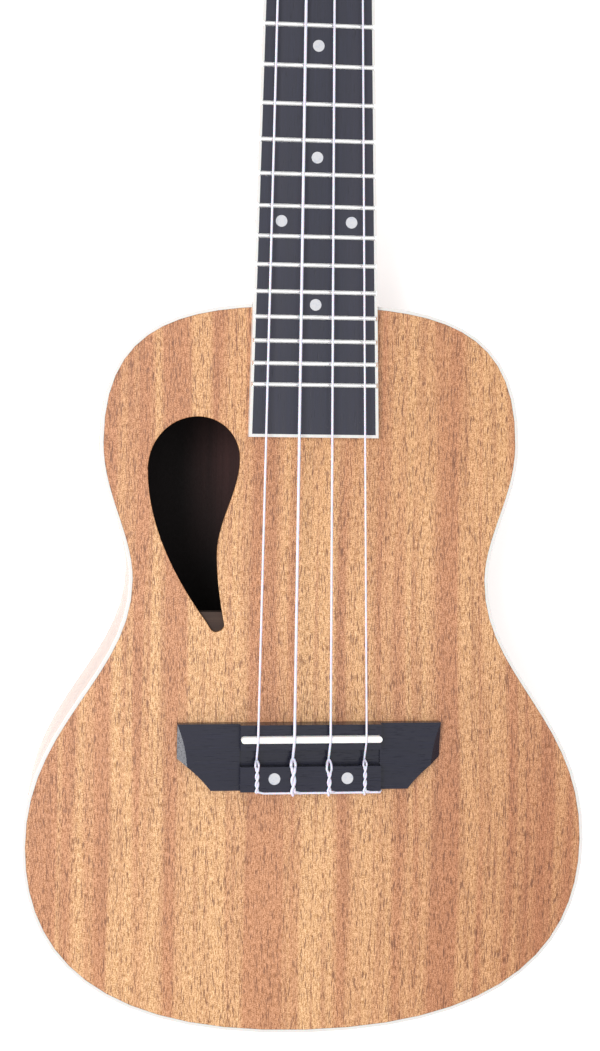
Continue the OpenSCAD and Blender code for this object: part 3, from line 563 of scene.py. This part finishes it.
# ---- strings --------------------------------------------------------------
STRING_RADIUS = {"g": 0.425 * MM, "c": 0.55 * MM, "e": 0.45 * MM, "a": 0.375 * MM}
NUT_Y = 380 * MM
NUT_LENGTH = 4 * MM
STRING_Z_NUT = 70.9 * MM
NUT_SPREAD = 28.5 * MM
SADDLE_SPREAD = 41.4 * MM
HEAD_TILT = math.radians(12.0)
HEAD_ORIGIN = Vector((0.0, NUT_Y + NUT_LENGTH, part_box("soundboard")[1].z))
POST_X = 17 * MM
POST_R = 3 * MM
LOW_POST_Y = 38 * MM
HIGH_POST_Y = 84 * MM
WINDING_Z = 5 * MM
TIE_HOLE_Z = 68.5 * MM
TIE_FRONT = -10.6 * MM
CROWN_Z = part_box("saddle")[1].z
TIE_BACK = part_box("bridge")[0].y
TIE_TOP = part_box("bridge")[1].z


def across(index, spread):
    return (index - 1.5) * spread / 3


def on_head(x, y, z):
    """Point of the headstock's own frame, in the row frame."""
    return HEAD_ORIGIN + Vector((
        x,
        y * math.cos(HEAD_TILT) + z * math.sin(HEAD_TILT),
        -y * math.sin(HEAD_TILT) + z * math.cos(HEAD_TILT),
    ))


def post_side(index):
    return -1 if index < 2 else 1


def post_y(index):
    return LOW_POST_Y if index in (0, 3) else HIGH_POST_Y


KNOT_TURNS = (1.5, 1.0, 1.0, 1.5)
KNOT_SPREAD = (1.0, 1.02, 1.0, 1.0)
KNOT_STEPS = 14
# Each knot's eye: how far behind the block's front edge it opens, its half width and its length. Each tail's
# end across the bridge, and how far it hangs below the block's top.
EYE_START = (0.3 * MM, 0.5 * MM, 2.2 * MM, 0.1 * MM)
EYE_HALF = (0.62 * MM, 0.8 * MM, 0.88 * MM, 0.6 * MM)
EYE_LENGTH = (2.6 * MM, 3.4 * MM, 4.7 * MM, 2.3 * MM)
# The eye's points: shares of its half width and of its length, and the height over the block in mm
EYE_POINTS = (
    (1.0, 0.22, 0.35),
    (0.95, 0.55, 0.1),
    (0.6, 0.85, -0.75),
    (0.0, 1.0, -1.25),
    (-0.6, 0.85, -0.75),
    (-0.95, 0.55, 0.1),
    (-1.0, 0.22, 0.35),
)
TAIL_END_X = (26.0 * MM, 27.0 * MM, 27.4 * MM, 27.8 * MM)
TAIL_DROP = (0.1 * MM, 1.1 * MM, 2.15 * MM, 3.0 * MM)
HAIR = 0.04 * MM


def eye_of_knot(index, x, way):
    """The loop at the knot's front: it dips over the block's edge to pass under the string."""
    start = TIE_FRONT - EYE_START[index]
    half = EYE_HALF[index]
    length = EYE_LENGTH[index]
    return [
        Vector((x - way * half * wide, start + length * far, TIE_TOP + lift * MM))
        for wide, far, lift in EYE_POINTS
    ]


def knot_path(index, radius):
    """The string past the saddle: through its hole, up and over, twisted round itself, and its tail."""
    x = across(index, SADDLE_SPREAD)
    lift = TIE_TOP + 1.1 * radius
    back_y = TIE_BACK + 0.3 * MM
    front_y = TIE_FRONT - EYE_START[index]
    crossed = [2 * STRING_RADIUS[note] for note in STRINGS[:index]]
    out_y = TIE_BACK - radius - max(crossed, default=0.0) - HAIR
    path = [
        Vector((x, TIE_FRONT + 1.2 * MM, TIE_HOLE_Z + 0.75 * MM)),
        Vector((x, TIE_FRONT - 0.6 * MM, TIE_HOLE_Z)),
        Vector((x, (TIE_FRONT + TIE_BACK) / 2, TIE_HOLE_Z)),
        Vector((x, TIE_BACK + 0.2 * MM, TIE_HOLE_Z)),
        Vector((x, out_y + 0.2 * MM, TIE_HOLE_Z + 0.7 * MM)),
        Vector((x, out_y, TIE_TOP - 1.0 * MM)),
        Vector((x, out_y + 0.3 * MM, TIE_TOP + 0.3 * radius)),
    ]
    spin = [math.tau * KNOT_TURNS[index] * k / KNOT_STEPS for k in range(KNOT_STEPS + 1)]
    twist = KNOT_SPREAD[index] * radius

    def strand(k, angle, phase):
        along = back_y + (front_y - back_y) * k / KNOT_STEPS
        height = lift + twist * (1 + phase * math.sin(angle))
        return Vector((x - phase * twist * math.cos(angle), along, height))

    path += [strand(k, angle, 1) for k, angle in enumerate(spin)]
    path += eye_of_knot(index, x, math.cos(spin[-1]))
    path += [strand(k, angle, -1) for k, angle in reversed(list(enumerate(spin)))]
    tail_y = TIE_BACK - radius - HAIR
    tail_z = TIE_TOP - TAIL_DROP[index]
    end = TAIL_END_X[index]
    path += [
        Vector((x + 1.5 * MM, TIE_BACK - 0.1 * MM, TIE_TOP + 0.9 * radius)),
        Vector((x + 3.0 * MM, tail_y, 0.5 * (TIE_TOP + tail_z) + 0.3 * radius)),
        Vector((x + 5.0 * MM, tail_y, tail_z)),
        Vector((0.5 * (x + 5.0 * MM + end), tail_y - HAIR, tail_z)),
        Vector((end, tail_y, tail_z)),
    ]
    return path


WRAP_STEPS = 24
HELIX_TURNS = 3
POST_HOLE_Z = WINDING_Z + 4.2 * MM


def round_post(index, reach, angle, height):
    """Point at an angle round a string's post, counted from where the string meets it, the way it winds."""
    side = post_side(index)
    return on_head(side * (POST_X - reach * math.cos(angle)), post_y(index) + reach * math.sin(angle), height)


def make_string(index):
    """One string from its lowest turn on the post to its tied end, and the turns above."""
    note = STRINGS[index]
    radius = STRING_RADIUS[note]
    reach = POST_R + radius + 0.03 * MM
    wrap = [
        round_post(index, reach, math.tau * k / WRAP_STEPS, WINDING_Z)
        for k in range(WRAP_STEPS - 1, -1, -1)
    ]
    arrive = wrap[-1]
    nut = Vector((across(index, NUT_SPREAD), NUT_Y, STRING_Z_NUT))
    leave = nut.lerp(arrive, NUT_LENGTH / (arrive.y - nut.y))
    x = across(index, SADDLE_SPREAD)
    crown = Vector((x, 0.0, CROWN_Z + radius))
    straight = wrap + [arrive.lerp(leave, 0.04), leave, nut.lerp(leave, 0.4), nut]
    straight += [nut.lerp(crown, k / 12) for k in range(1, 12)]
    straight += [
        nut.lerp(crown, 0.996),
        Vector((x, 0.35 * MM, CROWN_Z + radius + 0.01 * MM)),
        Vector((x, -0.5 * MM, CROWN_Z + radius - 0.10 * MM)),
        Vector((x, -1.2 * MM, CROWN_Z + radius - 0.50 * MM)),
    ]
    obj = tube_mesh("string_" + note + "_tied", straight + spline(knot_path(index, radius), 6), radius)
    finish_piece(obj, "string_" + note)
    make_winding(index, radius, reach)


def make_winding(index, radius, reach):
    """Helix of string round its post, above the lowest turn, whose end passes through the post's hole."""
    low = WINDING_Z + 2.1 * radius
    rise = (POST_HOLE_Z - 0.5 * MM - low) / HELIX_TURNS
    steps = HELIX_TURNS * WRAP_STEPS
    path = [
        round_post(index, reach, math.tau * k / WRAP_STEPS, low + rise * k / WRAP_STEPS)
        for k in range(steps + 1)
    ]
    path += [
        round_post(index, reach * 0.95, 0.35, POST_HOLE_Z - 0.2 * MM),
        round_post(index, reach * 0.6, 0.1, POST_HOLE_Z),
        round_post(index, 0.0, 0.0, POST_HOLE_Z),
        round_post(index, -reach - 0.8 * MM, 0.0, POST_HOLE_Z + 0.05 * MM),
    ]
    note = STRINGS[index]
    finish_piece(tube_mesh("string_turns_" + note, path, radius, sides=10), "winding_" + note)


# ---- tuner buttons --------------------------------------------------------
BUTTON_FLATNESS = 0.62
BUTTON_FROM_POST = 22.5 * MM
BUTTON_Z = -17.25 * MM
WORM_FROM_POST = 7.2 * MM
BUTTON_HALF = (8.4 * MM, 3.4 * MM, 8.3 * MM)
BUTTON_WAIST = 0.10
BUTTON_WAIST_AT = 0.85
BUTTON_WAIST_WIDTH = 0.35
BUTTON_CROWN = 0.04
# The collar's rings, in mm from the button's centre towards the post, its radius and its bulge
COLLAR_STATIONS = (9.7, 9.5, 9.2, 8.6, 8.0, 6.5)
COLLAR_RADIUS = 2.0
COLLAR_BULGE = 0.45


def make_button(note):
    """Oval button with full round edges and a collar, in place of the plain disc."""
    index = STRINGS.index(note)
    side = post_side(index)
    worm_y = post_y(index) - WORM_FROM_POST
    centre_x = side * (POST_X + BUTTON_FROM_POST)
    half_x, half_y, half_z = BUTTON_HALF
    made = bmesh.new()
    bmesh.ops.create_uvsphere(made, u_segments=48, v_segments=32, radius=1.0)
    for vert in made.verts:
        x, y, z = vert.co
        thick = math.copysign(abs(y) ** BUTTON_FLATNESS, y)
        waist = 1.0 - BUTTON_WAIST * math.exp(-((x + BUTTON_WAIST_AT) / BUTTON_WAIST_WIDTH) ** 2)
        vert.co = Vector((half_x * x * (1.0 + BUTTON_CROWN * z * z), half_y * thick, half_z * z * waist))
    for vert in made.verts:
        vert.co = on_head(centre_x + side * vert.co.x, worm_y + vert.co.y, BUTTON_Z + vert.co.z)
    mesh = bpy.data.meshes.new("button_" + note)
    made.to_mesh(mesh)
    made.free()
    obj = bpy.data.objects.new("button_" + note, mesh)
    soften(obj, 0.0, sharp=60.0)
    finish_piece(obj, "knob_" + note)
    collar = tube_mesh(
        "button_collar_" + note,
        [on_head(centre_x - side * d * MM, worm_y, BUTTON_Z) for d in COLLAR_STATIONS],
        lambda t: (COLLAR_RADIUS + COLLAR_BULGE * math.sin(math.pi * min(1.0, 1.6 * t))) * MM,
        sides=28,
    )
    bpy.context.scene.collection.objects.link(collar)
    collar.data.materials.append(MATERIALS["tuner_chrome"])
    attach(collar, "tuner_knob_" + note)


# ---- the object -----------------------------------------------------------
POLISHED = {
    "soundboard": ("soundboard_plate", 0.25 * MM),
    "back_plate": ("back_plate_panel", 0.15 * MM),
    "side_bass": ("side_bass_bent", 0.05 * MM),
    "side_treble": ("side_treble_bent", 0.05 * MM),
    "top_binding": ("top_binding_strip", 0.35 * MM),
    "back_binding": ("back_binding_strip", 0.5 * MM),
    "neck": ("neck_shaft", 0.0),
    "heel_cap": ("heel_cap_plate", 0.3 * MM),
    "headstock": ("headstock_blank", 0.7 * MM),
    "head_overlay": ("headstock_veneer", 0.3 * MM),
    "fretboard": ("fretboard_slab", 0.05 * MM),
    "fretboard_binding": ("fretboard_edge", 0.25 * MM),
    "frets": ("fret_wires", 0.12 * MM),
    "nut": ("nut_block", 0.15 * MM),
    "bridge": ("bridge_carved", 0.3 * MM),
    "saddle": ("saddle_blade", 0.12 * MM),
    "bridge_dots": ("bridge_dot_inlays", 0.06 * MM),
    "position_dots": ("position_dot_inlays", 0.04 * MM),
    "tuner_plates": ("tuner_plate_set", 0.2 * MM),
    "tuner_bushings": ("tuner_bushing_set", 0.25 * MM),
    "plate_screws": ("plate_screw_set", 0.12 * MM),
}
TUNER_EDGES = {"post": 0.3 * MM, "gear": 0.08 * MM, "gear_screw": 0.2 * MM, "worm": 0.1 * MM}


def make_object():
    for node, (name, width) in POLISHED.items():
        polished(node, name, width)
    for kind, width in TUNER_EDGES.items():
        for note in STRINGS:
            polished(kind + "_" + note, "turned_" + kind + "_" + note, width)
    for index in range(len(STRINGS)):
        make_string(index)
    for note in STRINGS:
        make_button(note)
    for node, obj in frame["nodes"].items():
        if not obj.hide_render:
            repaint(node)


# ---- floor and light ------------------------------------------------------
FLOOR_SIZE = 6.0
FLOOR_CENTRE = (0.0, 0.15, 0.0)
FLOOR_GLOW = 0.4


def make_floor():
    """White light table, bright enough that the object's own shade on it stays pale."""
    g = Graph("floor")
    cloud = g.noise(g.stretched((3.0, 3.0, 3.0)), detail=2.0)
    g.set(Base_Color=g.mix(g.remap(cloud, 0.3, 0.7), (0.90, 0.90, 0.90), (0.88, 0.88, 0.88)), Roughness=0.8)
    g.set(Emission_Color=(1.0, 1.0, 1.0, 1.0), Emission_Strength=FLOOR_GLOW)
    bpy.ops.mesh.primitive_plane_add(size=FLOOR_SIZE, location=FLOOR_CENTRE)
    floor = bpy.context.object
    floor.name = "floor"
    floor.data.materials.append(g.material)


LIGHT_AIM = Vector((0.0, 0.05, 0.06))
ROOM_BRIGHTNESS = 0.75
# Name, place, width, height and radiance of each softbox
SOFTBOXES = (
    ("key", (-0.70, 0.20, 1.62), 0.55, 0.55, 16.8),
    ("overhead", (0.0, 0.1, 1.8), 1.2, 1.2, 1.5),
    ("low_left", (-1.18, -0.55, 0.20), 0.75, 0.34, 13.0),
)


def panel(name, place, width, height, brightness):
    """Softbox aimed at the body, of the given radiance."""
    data = bpy.data.lights.new(name, "AREA")
    data.shape = "RECTANGLE"
    data.size = width
    data.size_y = height
    data.energy = brightness * math.pi * width * height
    light = bpy.data.objects.new(name, data)
    light.location = place
    light.rotation_euler = (LIGHT_AIM - Vector(place)).to_track_quat("-Z", "Y").to_euler()
    bpy.context.scene.collection.objects.link(light)


def make_light():
    world = bpy.data.worlds.new("studio")
    world.use_nodes = True
    room = world.node_tree.nodes["Background"]
    room.inputs["Color"].default_value = (1.0, 1.0, 1.0, 1.0)
    room.inputs["Strength"].default_value = ROOM_BRIGHTNESS
    bpy.context.scene.world = world
    for softbox in SOFTBOXES:
        panel(*softbox)


make_camera()
make_light()
make_floor()
make_object()
bpy.context.scene.view_settings.view_transform = "Standard"
